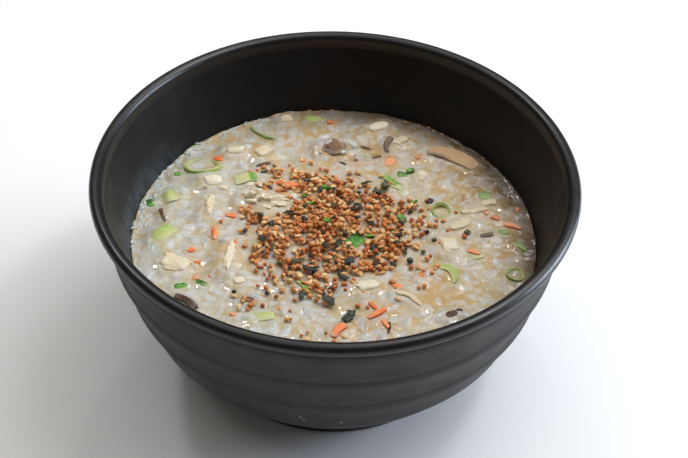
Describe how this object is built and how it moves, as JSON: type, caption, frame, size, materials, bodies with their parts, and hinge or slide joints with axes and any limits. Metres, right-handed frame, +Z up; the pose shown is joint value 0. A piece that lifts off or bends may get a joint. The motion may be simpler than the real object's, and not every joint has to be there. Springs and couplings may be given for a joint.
{
  "type": "congee bowl",
  "caption": "Dark round bowl of thick rice porridge with chicken, shiitake, carrot and spring onion under a savoury sprinkle, resting on its foot ring.",
  "frame": {"origin": "centre of the foot ring's underside, on the surface the bowl stands on", "axes": "+Z up through the bowl's middle; -Y towards the diner, +X to the diner's right"},
  "size_m": [0.18, 0.18, 0.086],
  "materials": {
    "bowl": "black glaze, glossy on the lip, satin inside, fine matt grain outside",
    "congee": "wet, translucent off-white rice gel with swollen grains",
    "scallion": "wet, translucent pale to bright green",
    "carrot": "wet, bright orange",
    "chicken": "damp, fibrous cream",
    "shiitake": "damp, dark brown with a tan inside",
    "sprinkle": "dry, toasted orange-brown granules and golden seeds",
    "seaweed": "dry, nearly black green flakes with a slight sheen"
  },
  "bodies": {
    "root": {"bowl": "bowl", "carrot_back": "carrot", "carrot_front": "carrot", "carrot_left": "carrot", "carrot_near": "carrot", "carrot_right": "carrot", "chicken_back": "chicken", "chicken_back_left": "chicken", "chicken_block": "chicken", "chicken_by_ring": "chicken", "chicken_crumbly": "chicken", "chicken_cube": "chicken", "chicken_curl": "chicken", "chicken_far": "chicken", "chicken_flake": "chicken", "chicken_large": "chicken", "chicken_shred_left": "chicken", "chicken_shred_right": "chicken", "chicken_soft_left": "chicken", "congee": "congee", "scallion_chunk": "scallion", "scallion_crescent": "scallion", "scallion_curl": "scallion", "scallion_leaf": "scallion", "scallion_piece": "scallion", "scallion_ring_edge": "scallion", "scallion_ring_left": "scallion", "scallion_ring_right": "scallion", "scallion_sliver": "scallion", "scallion_strip": "scallion", "scallion_wedge": "scallion", "shiitake_chunk": "shiitake", "shiitake_curl": "shiitake", "shiitake_rim": "shiitake", "shiitake_slice": "shiitake"}
  },
  "joints": []
}
